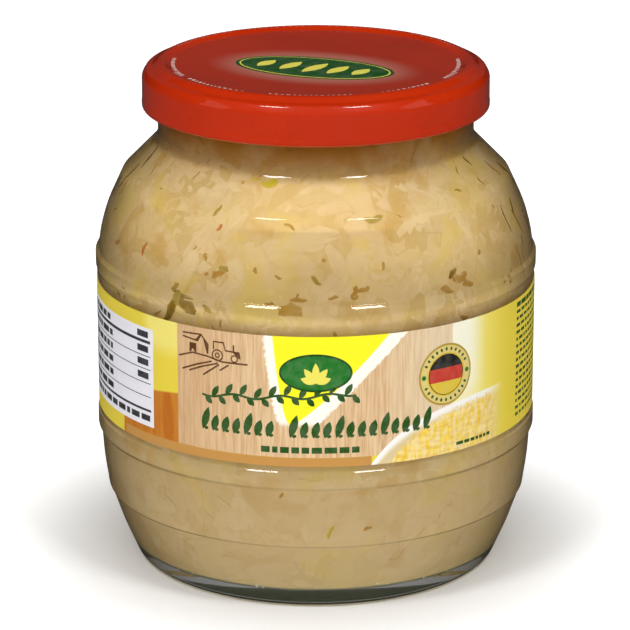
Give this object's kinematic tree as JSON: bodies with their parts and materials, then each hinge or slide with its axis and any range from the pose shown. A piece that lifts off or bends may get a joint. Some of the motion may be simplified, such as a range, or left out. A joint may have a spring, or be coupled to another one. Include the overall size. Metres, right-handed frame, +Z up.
{
  "type": "sauerkraut jar",
  "caption": "Shut barrel-shaped glass jar of sauerkraut with a red twist-off lid and a wrap-round paper label; stands on its base.",
  "frame": {"origin": "centre of the base ring, on the surface that the jar stands on", "axes": "+Z up along the jar's axis; the middle of the label's front faces -Y, and +X is to the right of someone facing it"},
  "size_m": [0.1092, 0.1092, 0.1258],
  "materials": {
    "jar_glass": "clear soda-lime container glass, smooth and glossy, faintly green where it is thick",
    "sauerkraut": "wet cream to straw-yellow shreds of pickled cabbage in clear brine",
    "label_paper": "coated paper, satin, printed with plain fields of colour",
    "lid_steel": "tinplate with gloss red enamel"
  },
  "bodies": {
    "root": {"jar": "jar_glass", "contents": "sauerkraut", "label": "label_paper", "lid": "lid_steel"}
  },
  "joints": []
}
